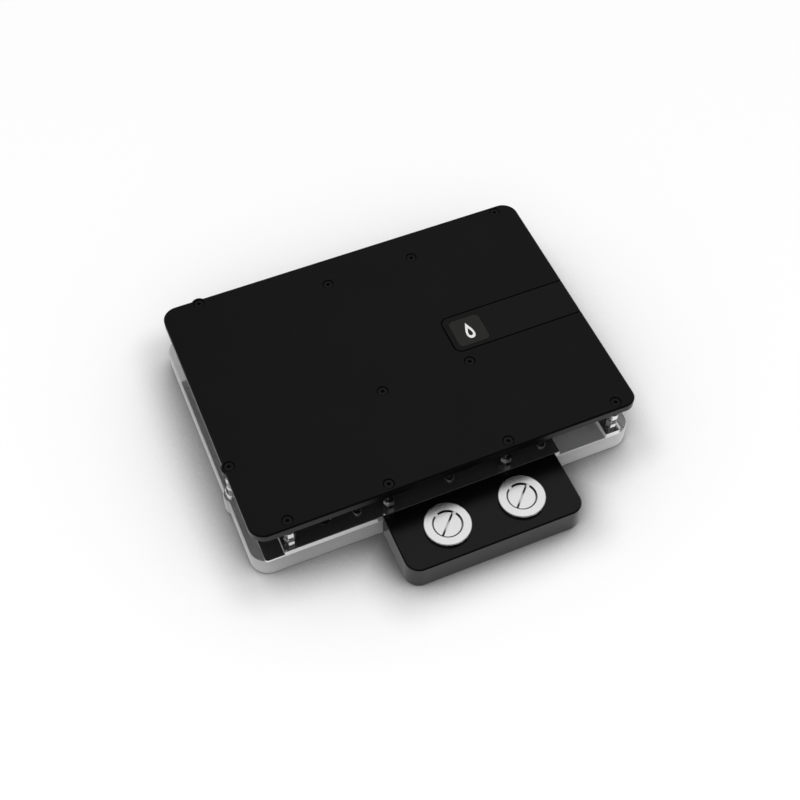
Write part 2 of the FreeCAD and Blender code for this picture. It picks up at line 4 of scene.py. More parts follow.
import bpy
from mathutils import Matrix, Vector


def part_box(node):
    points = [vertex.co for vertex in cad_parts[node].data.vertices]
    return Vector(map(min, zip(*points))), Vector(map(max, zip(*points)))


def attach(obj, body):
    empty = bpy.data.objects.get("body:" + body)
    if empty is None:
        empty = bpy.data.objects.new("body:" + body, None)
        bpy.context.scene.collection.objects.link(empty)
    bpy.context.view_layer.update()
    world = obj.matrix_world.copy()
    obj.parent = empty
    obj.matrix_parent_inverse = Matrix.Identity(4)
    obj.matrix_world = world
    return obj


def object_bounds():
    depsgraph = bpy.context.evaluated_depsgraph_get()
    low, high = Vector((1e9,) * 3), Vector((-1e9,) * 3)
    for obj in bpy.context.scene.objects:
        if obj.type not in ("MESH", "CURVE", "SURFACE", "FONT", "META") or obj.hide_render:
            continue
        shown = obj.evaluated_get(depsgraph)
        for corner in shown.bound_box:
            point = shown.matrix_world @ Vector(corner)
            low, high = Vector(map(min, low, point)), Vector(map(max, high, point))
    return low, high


bl_info = {
    "name": "Liquid Cooling Cold Plate",
    "version": (1, 0, 0),
    "blender": (4, 5, 0),
    "location": "View3D > Sidebar > Cold Plate",
    "description": "Dresses a processor cold plate with its clear housing, backplate and port plugs",
    "category": "Object",
}

import math

import bpy
import numpy as np
from mathutils import Matrix, Vector

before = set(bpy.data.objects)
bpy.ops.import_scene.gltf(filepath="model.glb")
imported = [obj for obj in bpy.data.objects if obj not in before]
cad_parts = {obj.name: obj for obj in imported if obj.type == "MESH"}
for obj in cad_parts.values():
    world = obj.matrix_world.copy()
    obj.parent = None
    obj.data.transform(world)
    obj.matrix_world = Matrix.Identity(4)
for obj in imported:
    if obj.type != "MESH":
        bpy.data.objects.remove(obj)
CAD_BOUNDS = [[float(v) for v in corner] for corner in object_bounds()]
MM = 0.001
PREFIX = "coldplate"


# ---------------------------------------------------------------- shader nodes as expressions
class Wire:
    """A node's output socket. Arithmetic on values adds Math nodes to its material."""

    def __init__(self, shader, socket):
        self.shader = shader
        self.socket = socket

    def _math(self, operation, first, second):
        return self.shader.add("ShaderNodeMath", {"operation": operation}, {0: first, 1: second})

    def __add__(self, other):
        return self._math("ADD", self, other)

    def __radd__(self, other):
        return self._math("ADD", other, self)

    def __sub__(self, other):
        return self._math("SUBTRACT", self, other)

    def __rsub__(self, other):
        return self._math("SUBTRACT", other, self)

    def __mul__(self, other):
        return self._math("MULTIPLY", self, other)

    def __rmul__(self, other):
        return self._math("MULTIPLY", other, self)

    def __truediv__(self, other):
        return self._math("DIVIDE", self, other)

    def over(self, limit):
        """One where the value is greater than the limit, zero elsewhere."""
        return self._math("GREATER_THAN", self, limit)

    def under(self, limit):
        """One where the value is less than the limit, zero elsewhere."""
        return self._math("LESS_THAN", self, limit)

    def at_most(self, limit):
        """The smaller of the value and the limit."""
        return self._math("MINIMUM", self, limit)

    def at_least(self, limit):
        """The larger of the value and the limit."""
        return self._math("MAXIMUM", self, limit)

    def size(self):
        """The value without its sign."""
        return self._math("ABSOLUTE", self, 0.0)

    def sign(self):
        """One above zero and minus one below."""
        return self._math("SIGN", self, 0.0)

    def wave(self):
        """Triangle wave from 0 to 1, one period for each whole step of the value."""
        return self._math("PINGPONG", self * 2.0, 1.0)


class Shader:
    """A material's or world's node tree; every node comes from add()."""

    def __init__(self, owner):
        owner.use_nodes = True
        self.owner = owner
        self.tree = owner.node_tree
        self.tree.nodes.clear()

    def feed(self, socket, value):
        """Links a wire to a socket, or sets the socket's own number or colour."""
        if isinstance(value, Wire):
            self.tree.links.new(value.socket, socket)
        elif isinstance(value, (tuple, list)) and len(value) < len(socket.default_value):
            socket.default_value = (*value, 1.0)
        else:
            socket.default_value = value

    def add(self, kind, settings=None, inputs=None, output=0):
        """Adds one node: its settings first, then the values or wires of its inputs."""
        node = self.tree.nodes.new(kind)
        for key, value in (settings or {}).items():
            if key == "stops":
                self.set_stops(node.color_ramp, value)
            else:
                setattr(node, key, value)
        for key, value in (inputs or {}).items():
            self.feed(node.inputs[key], value)
        return Wire(self, node.outputs[output]) if node.outputs else None

    def set_stops(self, ramp, stops):
        """Places a ramp's stops from (position, grey level) pairs."""
        while len(ramp.elements) < len(stops):
            ramp.elements.new(1.0)
        for element, (position, level) in zip(ramp.elements, stops):
            element.position = position
            element.color = (level, level, level, 1.0)

    def place(self):
        """Object coordinates in metres."""
        return self.add("ShaderNodeTexCoord", output="Object")

    def axis(self, name):
        """One of the object coordinates, in metres."""
        return self.add("ShaderNodeSeparateXYZ", None, {"Vector": self.place()}, output=name)

    def lean(self, name):
        """How far a face's normal points along one object axis, without its sign."""
        normal = self.add("ShaderNodeTexCoord", output="Normal")
        return self.add("ShaderNodeSeparateXYZ", None, {"Vector": normal}, output=name).size()

    def length(self, across, along):
        """Length of a flat vector from its two parts."""
        squares = across * across + along * along
        return self.add("ShaderNodeMath", {"operation": "SQRT"}, {0: squares})

    def eased(self, value, low, high, start=0.0, end=1.0):
        """Smooth step from start to end while the value runs from low to high."""
        return self.add("ShaderNodeMapRange", {"interpolation_type": "SMOOTHSTEP"},
                        {"Value": value, "From Min": low, "From Max": high, "To Min": start,
                         "To Max": end})

    def from_axes(self, centres):
        """Flat offset and distance from the nearer of two upright axes side by side along X."""
        middle, half = (centres[0] + centres[1]) / 2, (centres[1].x - centres[0].x) / 2
        across = self.axis("X") - middle.x
        across = across - across.sign() * half
        along = self.axis("Y") - middle.y
        return across, along, self.length(across, along)

    def beyond(self, low, high):
        """Flat distance outside a box, zero inside it."""
        x = ((self.axis("X") - (low[0] + high[0]) / 2).size() - (high[0] - low[0]) / 2)
        y = ((self.axis("Y") - (low[1] + high[1]) / 2).size() - (high[1] - low[1]) / 2)
        return self.length(x.at_least(0.0), y.at_least(0.0))

    def shelter(self, reach):
        """Ambient occlusion: one on open faces and less in slots and grooves narrower than the
        reach. The plugs and the floor use it to paint shade into their colours.
        """
        return self.add("ShaderNodeAmbientOcclusion", {"samples": 8}, {"Distance": reach},
                        output="AO")

    def angle(self, across, along):
        """Turns of a flat vector round the upright axis, from -0.5 to 0.5."""
        turn = self.add("ShaderNodeMath", {"operation": "ARCTAN2"}, {0: along, 1: across})
        return turn / (2 * math.pi)

    def noise(self, size, detail=2.0, rough=0.5, where=None):
        """Noise from 0 to 1 whose grain is about size metres."""
        inputs = {"Vector": where or self.place(), "Scale": 1.0 / size, "Detail": detail,
                  "Roughness": rough}
        return self.add("ShaderNodeTexNoise", None, inputs, output=0)

    def stretched(self, scale):
        """Object coordinates scaled axis by axis, for brushed or cut marks."""
        settings = {"vector_type": "POINT"}
        return self.add("ShaderNodeMapping", settings, {"Vector": self.place(), "Scale": scale})

    def between(self, factor, first, second):
        """Colour mixed from two colours by a value."""
        settings = {"data_type": "RGBA"}
        return self.add("ShaderNodeMix", settings, {0: factor, 6: first, 7: second}, output=2)

    def product(self, first, second):
        """Product of two colours."""
        settings = {"data_type": "RGBA", "blend_type": "MULTIPLY"}
        return self.add("ShaderNodeMix", settings, {0: 1.0, 6: first, 7: second}, output=2)

    def soft_edges(self, radius):
        """Normal that rounds sharp edges by a radius."""
        return self.add("ShaderNodeBevel", {"samples": 4}, {"Radius": radius})

    def bump(self, height, depth, strength=1.0, normal=None):
        """Normal from a height value; depth is the height of 1 in metres."""
        inputs = {"Height": height, "Distance": depth, "Strength": strength}
        if normal is not None:
            inputs["Normal"] = normal
        return self.add("ShaderNodeBump", None, inputs)

    def surface(self, **sockets):
        """Principled surface; names use underscores for spaces."""
        named = {key.replace("_", " "): value for key, value in sockets.items()}
        shader = self.add("ShaderNodeBsdfPrincipled", None, named)
        self.add("ShaderNodeOutputMaterial", None, {"Surface": shader})
        return self.owner


def new_shader(name):
    """Empty shader on a new material."""
    return Shader(bpy.data.materials.new(name))


# ---------------------------------------------------------------- pieces and finishes
def finish_node(node, material):
    """Gives a CAD node one material on every slot it has."""
    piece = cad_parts[node]
    if not piece.material_slots:
        piece.data.materials.append(material)
    for slot in piece.material_slots:
        slot.material = material


def new_piece(name, verts, faces, material):
    """Mesh piece from arrays of points and faces, riding on the one body."""
    mesh = bpy.data.meshes.new(name)
    mesh.from_pydata(verts.tolist(), [], faces.tolist())
    mesh.validate()
    mesh.update()
    mesh.materials.append(material)
    piece = bpy.data.objects.new(name, mesh)
    bpy.context.collection.objects.link(piece)
    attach(piece, "root")
    return piece


def closed_grid_faces(rows, columns):
    """Quads of a grid of points that closes round both ways: each point joins the next one in
    its row and column, counted modulo the size of the grid."""
    r, c = np.meshgrid(np.arange(rows), np.arange(columns), indexing="ij")
    r, c = r.ravel(), c.ravel()
    next_r, next_c = (r + 1) % rows, (c + 1) % columns
    return np.stack([r * columns + c, r * columns + next_c,
                     next_r * columns + next_c, next_r * columns + c], axis=1)


def node_centre(node):
    """Middle of a node's box."""
    low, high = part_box(node)
    return (Vector(low) + Vector(high)) / 2


def away_from(azimuth, elevation):
    """Unit vector from the part; azimuth runs from +Y towards +X."""
    return Vector((math.sin(azimuth) * math.cos(elevation),
                   math.cos(azimuth) * math.cos(elevation), math.sin(elevation)))


def anodised(name, colour, grain, roughness, gloss, rim=None):
    """Bead-blasted, dyed aluminium: fine grain, faint clouding and softly broken edges. Below a
    rim level the side walls lean back for half a millimetre, as the hand-broken edge does."""
    s = new_shader(name)
    clouds = s.noise(18 * MM, detail=3.0)
    speckle = s.noise(grain, detail=2.0, rough=0.6)
    tint = s.between(clouds * 0.5 + speckle * 0.5, [c * 0.8 for c in colour],
                     [c * 1.2 for c in colour])
    normal = s.bump(speckle, grain * 0.25, 0.35, s.soft_edges(0.08 * MM))
    if rim is not None:
        broken = 0.5 * MM
        fall = ((rim - s.axis("Z")) / broken).at_least(0.0).at_most(1.0)
        normal = s.bump(fall, broken, 1.0, normal)
    return s.surface(Base_Color=tint, Roughness=roughness - 0.05 + 0.1 * clouds,
                     Specular_IOR_Level=gloss, Normal=normal)


def plated(name, colour, roughness, mark_size, mark_depth, edge, metal=1.0, ends=0.0):
    """Bright plated metal with faint polishing marks and a rounded edge. The end walls, which
    lean along X, can lose metal by a share, a satin look that lightens them as painted light
    standing in for bright reflections there."""
    s = new_shader(name)
    marks = s.noise(mark_size, detail=3.0, where=s.stretched((1.0, 0.12, 1.0)))
    haze = s.noise(6 * MM, detail=2.0)
    normal = s.bump(marks, mark_depth, 0.4, s.soft_edges(edge))
    tint = s.between(haze, [c * 0.95 for c in colour], colour)
    # Painted light: the end walls lose metal by the share, which lightens them.
    metallic = metal - ends * s.eased(s.lean("X"), 0.5, 0.8) if ends else metal
    return s.surface(Base_Color=tint, Metallic=metallic, Normal=normal,
                     Roughness=roughness * 0.7 + roughness * 0.6 * haze)


def threaded_nickel(name, colour, roughness, low, high, pitch):
    """Bright plated posts whose bare stud, between two levels, carries a fine thread."""
    s = new_shader(name)
    level = s.axis("Z")
    stud = level.over(low) * level.under(high)
    thread = (level / pitch).wave() * stud
    haze = s.noise(4 * MM, detail=2.0)
    normal = s.bump(thread, pitch * 0.5, 0.8, s.soft_edges(0.1 * MM))
    tint = s.between(haze, [c * 0.93 for c in colour], colour)
    return s.surface(Base_Color=tint, Metallic=1.0, Roughness=roughness + 0.06 * haze,
                     Normal=normal)


def oxide_steel(name, colour):
    """Black oxide on small screws."""
    s = new_shader(name)
    speckle = s.noise(0.2 * MM, detail=2.0)
    tint = s.between(speckle, [c * 0.7 for c in colour], [c * 1.4 for c in colour])
    normal = s.bump(speckle, 0.02 * MM, 0.3, s.soft_edges(0.12 * MM))
    return s.surface(Base_Color=tint, Roughness=0.34 + 0.12 * speckle, Specular_IOR_Level=0.17,
                     Normal=normal)


def clear_acrylic(name, clear, body, low, high, near):
    """Clear acrylic, polished above and below and satin-cut round the sides: the satin grows
    with the lean of the face, and the top is made satin along the back too, which lightens it
    there as painted light. The satin's colour carries painted light: nearly even up the sides,
    with a painted highlight line at the top edge, and lighter along the back of the top,
    towards the left corner and, beyond a near value of X, towards the right end."""
    s = new_shader(name)
    normal = s.bump(s.noise(7 * MM, detail=1.0), 0.03 * MM, 0.25)
    # Band along the back of the top, for painted light and extra satin there.
    rear = s.eased(s.axis("Y"), high[1] - 25.8 * MM, high[1] - 23.5 * MM)
    side = s.eased(s.lean("Z"), 0.95, 0.6)
    level = (s.axis("Z") - low[2]) / (high[2] - low[2])
    # Painted highlight: by level, the satin's colour has a line of light at the top edge over a
    # slightly darker band below it.
    stops = ((0.0, 0.45), (0.3, 0.46), (0.88, 0.40), (0.945, 0.37), (0.955, 0.52), (1.0, 0.54))
    painted_glow = s.add("ShaderNodeValToRGB", {"stops": stops}, {"Fac": level})
    # Painted light: gains that lighten the satin's colour towards the right end, the left corner and
    # the back of the top.
    right_painted_gain, left_painted_gain, rear_painted_gain = 0.42, 0.20, 0.16
    ends = s.eased(s.axis("X"), near, high[0]) * right_painted_gain
    ends = ends + s.eased(s.axis("X"), low[0] + 20 * MM, low[0]) * left_painted_gain
    ends = ends + rear * (1.0 - side) * rear_painted_gain
    painted_light = s.between(0.5 + ends, (0.0, 0.0, 0.0), (2.0, 2.0, 2.0))
    tint = s.product(s.product(body, painted_glow), painted_light)
    inside = s.add("ShaderNodeBsdfPrincipled", None,
                   {"Base Color": clear, "Roughness": 0.05, "IOR": 1.49,
                    "Transmission Weight": 1.0, "Normal": normal})
    satin = s.add("ShaderNodeBsdfPrincipled", None,
                  {"Base Color": tint, "Roughness": 0.35, "Specular IOR Level": 0.4,
                   "Normal": normal})
    # The extra satin along the back of the top lightens it there: painted light.
    top_satin, rear_satin, side_satin = 0.13, 0.40, 0.52
    share = top_satin + rear * rear_satin + side * (side_satin - rear * rear_satin)
    both = s.add("ShaderNodeMixShader", None, {0: share, 1: inside, 2: satin})
    s.add("ShaderNodeOutputMaterial", None, {"Surface": both})
    return s.owner


def turned_chrome(name, colour, roughness, centres, ring):
    """Bright plated plugs: fine turning rings and painted light and shading. Ambient occlusion
    paints the groove, the slot and other crevices nearly black, two painted highlights sit at
    fixed turns in the groove, and the slot's painted shading deepens from a painted highlight
    in its middle towards its ends."""
    s = new_shader(name)
    across, along, radius = s.from_axes(centres)
    rings = (radius / (0.12 * MM)).wave()
    normal = s.bump(rings, 0.004 * MM, 0.35, s.soft_edges(0.12 * MM))
    turn = s.angle(across, along)
    # Painted highlights: two glint spots in the groove at fixed turns round the plug's axis.
    left_painted_glint, right_painted_glint, groove_width = 0.315, 0.112, 1.0 * MM
    painted_glints = s.eased((turn - left_painted_glint).size(), 0.03, 0.012)
    painted_glints = painted_glints.at_least(s.eased((turn - right_painted_glint).size(), 0.028, 0.010))
    groove = radius.over(ring)
    painted_glints = painted_glints * groove * radius.under(ring + groove_width)
    # Painted shade: dark in the groove away from the glint spots, and in the slot deepening towards
    # its ends.
    dark = groove * (1.0 - painted_glints) + (1.0 - groove) * s.eased(radius, 0.8 * MM, 3.4 * MM)
    # Ambient occlusion keeps the painted shade and highlights to the groove, the slot and other
    # crevices.
    crevice_mask = s.eased(s.shelter(1.4 * MM), 0.8, 0.35)
    shade = crevice_mask * dark
    # Painted highlight colour: white at the glint spots; painted shade turns the crevices nearly
    # black.
    bright = s.between(painted_glints, colour, (1.0, 1.0, 1.0))
    tint = s.between(shade, bright, [c * 0.03 for c in colour])
    haze = s.noise(5 * MM, detail=2.0)
    # Painted highlights: less metal at the glint spots and in the slot's middle, so they show white.
    painted_lit = painted_glints.at_least(s.eased(radius, 2.2 * MM, 0.8 * MM)) * crevice_mask
    return s.surface(Base_Color=tint, Metallic=1.0 - 0.75 * painted_lit, Normal=normal,
                     Roughness=roughness + 0.05 * haze)


def machined_plastic(name, colour, roughness, ports, port_radius, pitch):
    """Milled acetal: fine cutter marks on a dense, waxy black, and a thread round the walls of
    the ports, whose height follows the level and the turn about the port's axis."""
    s = new_shader(name)
    cutter = s.noise(0.3 * MM, detail=2.0, where=s.stretched((0.1, 1.0, 1.0)))
    speckle = s.noise(0.4 * MM, detail=2.0)
    tint = s.between(speckle, [c * 0.85 for c in colour], [c * 1.15 for c in colour])
    across, along, radius = s.from_axes(ports)
    bore = radius.under(port_radius)
    thread = (s.axis("Z") / pitch + s.angle(across, along)).wave() * bore
    cut = s.bump(cutter * 0.5 + speckle * 0.5, 0.04 * MM, 0.3, s.soft_edges(0.25 * MM))
    normal = s.bump(thread, pitch * 0.6, 1.0, cut)
    return s.surface(Base_Color=tint, Roughness=roughness - 0.04 + 0.08 * cutter,
                     Specular_IOR_Level=0.22, Normal=normal)


def rubber(name, colour):
    """Matt seal rubber."""
    s = new_shader(name)
    speckle = s.noise(0.3 * MM, detail=3.0)
    tint = s.between(speckle, colour, [c * 1.6 for c in colour])
    return s.surface(Base_Color=tint, Roughness=0.6 + 0.15 * speckle,
                     Normal=s.bump(speckle, 0.03 * MM, 0.3))


def paint(name, colour):
    """Flat printed ink."""
    s = new_shader(name)
    speckle = s.noise(0.2 * MM, detail=2.0)
    tint = s.between(speckle, [c * 0.94 for c in colour], colour)
    return s.surface(Base_Color=tint, Roughness=0.5 + 0.1 * speckle)


# ---------------------------------------------------------------- settings
def colour_setting(label, note, value):
    """Colour with its name, its description and its default."""
    return bpy.props.FloatVectorProperty(name=label, description=note, subtype="COLOR", size=3,
                                         min=0.0, max=1.0, default=value)


def angle_setting(label, note, degrees):
    """Angle whose default is given in degrees."""
    return bpy.props.FloatProperty(name=label, description=note, subtype="ANGLE",
                                   default=math.radians(degrees))


def length_setting(label, note, metres):
    """Length whose default is given in metres."""
    return bpy.props.FloatProperty(name=label, description=note, subtype="DISTANCE",
                                   unit="LENGTH", precision=5, default=metres)


def number_setting(label, note, value, unit="NONE"):
    """Plain number, or one with a unit."""
    return bpy.props.FloatProperty(name=label, description=note, unit=unit, default=value)


class ColdPlateFinishes(bpy.types.PropertyGroup):
    """Colours and gloss of the pieces."""
    backplate: colour_setting("Backplate", "Black anodised aluminium", (0.0016, 0.0016, 0.00165))
    inlay: colour_setting("Inlay", "Strip let into the backplate", (0.0028, 0.0028, 0.00285))
    badge: colour_setting("Badge", "Tile on the strip", (0.018, 0.018, 0.0165))
    screw: colour_setting("Screws", "Black oxide steel", (0.0040, 0.0040, 0.0040))
    bright_screw: colour_setting("Bright screws", "Cold plate and terminal", (0.66, 0.66, 0.66))
    insert: colour_setting("Inserts", "Plated brass inserts", (0.70, 0.67, 0.58))
    nickel: colour_setting("Nickel", "Cold plate and posts", (0.78, 0.78, 0.775))
    jet_steel: colour_setting("Jet plate", "Stainless steel sheet", (0.62, 0.62, 0.61))
    chrome: colour_setting("Chrome", "Port plugs", (0.90, 0.90, 0.90))
    acrylic: colour_setting("Acrylic", "Clear housing", (0.80, 0.805, 0.81))
    acrylic_side: colour_setting("Acrylic sides", "Satin sides of the housing", (0.92, 0.92, 0.92))
    acetal: colour_setting("Acetal", "Terminal block", (0.0012, 0.0012, 0.00125))
    seal: colour_setting("Seals", "Seal rubber", (0.012, 0.012, 0.012))
    ink: colour_setting("Ink", "Printed mark on the badge", (0.80, 0.80, 0.80))


class ColdPlateDetails(bpy.types.PropertyGroup):
    """Sizes of the print and threads."""
    drop_height: length_setting("Drop height", "Printed water drop, point to foot", 8.4 * MM)
    drop_stroke: number_setting("Drop stroke", "Inner outline as a share of the outer", 0.5)
    ink_thickness: length_setting("Ink thickness", "Height of the print", 0.03 * MM)
    thread_pitch: length_setting("Stud thread pitch", "M2.5 thread", 0.45 * MM)
    port_pitch: length_setting("Port thread pitch", "G1/4, 19 turns to the inch", 1.337 * MM)
    port_radius: length_setting("Port thread reach", "Wall of the threaded ports", 5.9 * MM)
    plug_groove: length_setting("Plug groove", "Inner radius of the plugs' groove", 5.3 * MM)


class ColdPlateStudio(bpy.types.PropertyGroup):
    """Camera, lamps and floor."""
    azimuth: angle_setting("Azimuth", "Camera direction round the part", -23.12)
    elevation: angle_setting("Elevation", "Camera height angle", 55.05)
    roll: angle_setting("Roll", "Camera tilt about its own axis", 0.18)
    distance: length_setting("Distance", "Camera to its aim point", 0.5127)
    lens: number_setting("Lens", "Focal length on a 36 mm sensor", 57.98, "CAMERA")
    aim_x: length_setting("Aim X", "Aim point from the backplate's left edge", 0.07588)
    aim_y: length_setting("Aim Y", "Aim point from the backplate's front edge", 0.0375)
    ambient: number_setting("Ambient", "World light on rough surfaces", 0.95)
    key_power: number_setting("Key power", "Large soft lamp", 1.17, "POWER")
    key_azimuth: angle_setting("Key azimuth", "Direction of the lamp from the part", 200.0)
    key_elevation: angle_setting("Key elevation", "Height angle of the lamp", 45.0)
    key_distance: length_setting("Key distance", "Lamp to the middle of the backplate", 0.9)
    key_size: length_setting("Key size", "Diameter of the lamp", 0.8)
    floor: colour_setting("Floor", "Pale floor", (0.80, 0.80, 0.80))
    floor_lift: number_setting("Floor lift", "Extra floor brightness for the camera", 0.182)
    mirror_lift: number_setting("Mirror lift", "Extra floor brightness in mirrors", 0.32)
    # Painted floor shadows: the halo's reach, the contact shadow's reach and the tones left in it
    # and below the clear housing.
    halo: length_setting("Halo", "Reach of the soft shadow round the part", 20 * MM)
    contact: length_setting("Contact", "Reach of the contact shadow", 60 * MM)
    contact_tone: number_setting("Contact tone", "Share of the floor's tone left in it", 0.2)
    under_shadow_tone: number_setting("Under tone", "Share left below the clear housing", 0.5)
    room: number_setting("Room", "Dim room that mirrors see", 0.25)
    panel: number_setting("Panel", "White panel that mirrors see", 0.86)
    panel_azimuth: angle_setting("Panel azimuth", "Direction of the panel from the part", 31.0)
    panel_elevation: angle_setting("Panel elevation", "Height angle of the panel", 61.0)
    panel_core: angle_setting("Panel core", "Half angle of the even middle", 9.0)
    panel_reach: angle_setting("Panel reach", "Half angle where it has faded out", 24.0)
    door_azimuth: angle_setting("Doorway azimuth", "Direction of the dark doorway", 165.0)
    door_elevation: angle_setting("Doorway elevation", "Height angle of the doorway", 30.0)
    door_core: angle_setting("Doorway core", "Half angle of its even middle", 30.0)
    door_reach: angle_setting("Doorway reach", "Half angle where it has faded out", 60.0)
    door_tone: number_setting("Doorway tone", "Share of the room's level left in it", 0.15)


# ---------------------------------------------------------------- operators
class DressBase:
    """What the operators that finish pieces share."""
    bl_options = {"REGISTER", "UNDO"}

    @property
    def finishes(self):
        return bpy.context.scene.cold_plate_finishes

    @property
    def details(self):
        return bpy.context.scene.cold_plate_details


class COLDPLATE_OT_backplate(DressBase, bpy.types.Operator):
    """Finish the backplate and the strip let into it"""
    bl_idname = PREFIX + ".backplate"
    bl_label = "Backplate"

    def execute(self, context):
        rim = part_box("backplate")[1][2] - 0.4 * MM
        finish_node("backplate", anodised("backplate_anodised", list(self.finishes.backplate),
                                          grain=0.18 * MM, roughness=0.32, gloss=0.14, rim=rim))
        finish_node("backplate_inlay", anodised("inlay_anodised", list(self.finishes.inlay),
                                                grain=0.12 * MM, roughness=0.32, gloss=0.14))
        return {"FINISHED"}


class COLDPLATE_OT_badge(DressBase, bpy.types.Operator):
    """Finish the badge tile and print a plain water drop on it"""
    bl_idname = PREFIX + ".badge"
    bl_label = "Badge"

    def execute(self, context):
        tile = anodised("badge_anodised", list(self.finishes.badge), grain=0.12 * MM,
                        roughness=0.4, gloss=0.12)
        finish_node("badge_tile", tile)
        centre = node_centre("badge_tile")
        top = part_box("badge_tile")[1][2]
        verts, faces = self.drop(centre, top)
        new_piece("badge_drop", verts, faces, paint("badge_ink", list(self.finishes.ink)))
        return {"FINISHED"}

    def drop(self, centre, top):
        """Water drop ring. Its outline is x = 0.62 sin(t) |sin(t/2)|^1.5 and y = cos(t), in
        half heights; an inner copy scaled about the belly leaves a stroke of even look."""
        details = self.details
        width, belly_level = 0.62, -0.35
        t = np.linspace(0, 2 * math.pi, 64, endpoint=False)
        x = width * np.sin(t) * np.abs(np.sin(t / 2)) ** 1.5
        y = np.cos(t)
        half = details.drop_height / 2
        rings = []
        for scale, level in ((1, 0), (1, 1), (details.drop_stroke, 1), (details.drop_stroke, 0)):
            belly = belly_level * (1 - scale)
            rings.append(np.stack([x * scale * half + centre.x,
                                   (y * scale + belly) * half + centre.y,
                                   np.full_like(x, top + level * details.ink_thickness)], axis=1))
        return np.concatenate(rings), closed_grid_faces(len(rings), len(t))


class COLDPLATE_OT_screws(DressBase, bpy.types.Operator):
    """Finish the screws of backplate, cold plate and terminal block"""
    bl_idname = PREFIX + ".screws"
    bl_label = "Screws"

    def execute(self, context):
        finish_node("backplate_screws", oxide_steel("screw_oxide", list(self.finishes.screw)))
        bright = plated("screw_bright", list(self.finishes.bright_screw), roughness=0.16,
                        mark_size=0.4 * MM, mark_depth=0.004 * MM, edge=0.12 * MM)
        finish_node("cold_plate_screws", bright)
        finish_node("terminal_screws", bright)
        brass = plated("insert_nickel", list(self.finishes.insert), roughness=0.22,
                       mark_size=0.4 * MM, mark_depth=0.01 * MM, edge=0.1 * MM)
        finish_node("housing_inserts", brass)
        finish_node("terminal_inserts", brass)
        return {"FINISHED"}


class COLDPLATE_OT_posts(DressBase, bpy.types.Operator):
    """Finish the hexagon spacers and posts"""
    bl_idname = PREFIX + ".posts"
    bl_label = "Spacers and posts"

    def execute(self, context):
        low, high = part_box("lower_posts")[1][2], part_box("upper_spacers")[0][2]
        nickel = threaded_nickel("post_nickel", list(self.finishes.nickel), roughness=0.08,
                                 low=min(low, high), high=max(low, high),
                                 pitch=self.details.thread_pitch)
        finish_node("upper_spacers", nickel)
        finish_node("lower_posts", nickel)
        return {"FINISHED"}


class COLDPLATE_OT_cold_plate(DressBase, bpy.types.Operator):
    """Finish the plated cold plate and the jet plate"""
    bl_idname = PREFIX + ".cold_plate"
    bl_label = "Cold plate"

    def execute(self, context):
        # The cold plate's end walls lose most of their metal: painted light.
        nickel = plated("plate_nickel", list(self.finishes.nickel), roughness=0.12,
                        mark_size=30 * MM, mark_depth=0.01 * MM, edge=0.2 * MM, metal=0.98,
                        ends=0.94)
        finish_node("cold_plate", nickel)
        steel = plated("jet_steel", list(self.finishes.jet_steel), roughness=0.3,
                       mark_size=0.6 * MM, mark_depth=0.01 * MM, edge=0.1 * MM)
        finish_node("jet_plate", steel)
        return {"FINISHED"}


class COLDPLATE_OT_housing(DressBase, bpy.types.Operator):
    """Finish the clear housing and the seals"""
    bl_idname = PREFIX + ".housing"
    bl_label = "Coolant housing"

    def execute(self, context):
        low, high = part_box("coolant_housing")
        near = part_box("terminal_block")[1][0] * 0.4
        acrylic = clear_acrylic("acrylic_clear", tuple(self.finishes.acrylic),
                                tuple(self.finishes.acrylic_side), low, high, near)
        finish_node("coolant_housing", acrylic)
        ring = rubber("seal_rubber", list(self.finishes.seal))
        for node in ("housing_seal", "terminal_seal_left", "terminal_seal_right",
                     "plug_seal_left", "plug_seal_right"):
            finish_node(node, ring)
        return {"FINISHED"}


class COLDPLATE_OT_terminal(DressBase, bpy.types.Operator):
    """Finish the terminal block and the threads of its ports"""
    bl_idname = PREFIX + ".terminal"
    bl_label = "Terminal block"

    def execute(self, context):
        ports = [node_centre(node) for node in ("plug_left", "plug_right")]
        acetal = machined_plastic("terminal_acetal", list(self.finishes.acetal), roughness=0.25,
                                  ports=ports, port_radius=self.details.port_radius,
                                  pitch=self.details.port_pitch)
        finish_node("terminal_block", acetal)
        return {"FINISHED"}


class COLDPLATE_OT_plugs(DressBase, bpy.types.Operator):
    """Finish the two port plugs"""
    bl_idname = PREFIX + ".plugs"
    bl_label = "Port plugs"

    def execute(self, context):
        centres = [node_centre(node) for node in ("plug_left", "plug_right")]
        chrome = turned_chrome("plug_chrome", list(self.finishes.chrome), roughness=0.2,
                               centres=centres, ring=self.details.plug_groove)
        finish_node("plug_left", chrome)
        finish_node("plug_right", chrome)
        return {"FINISHED"}


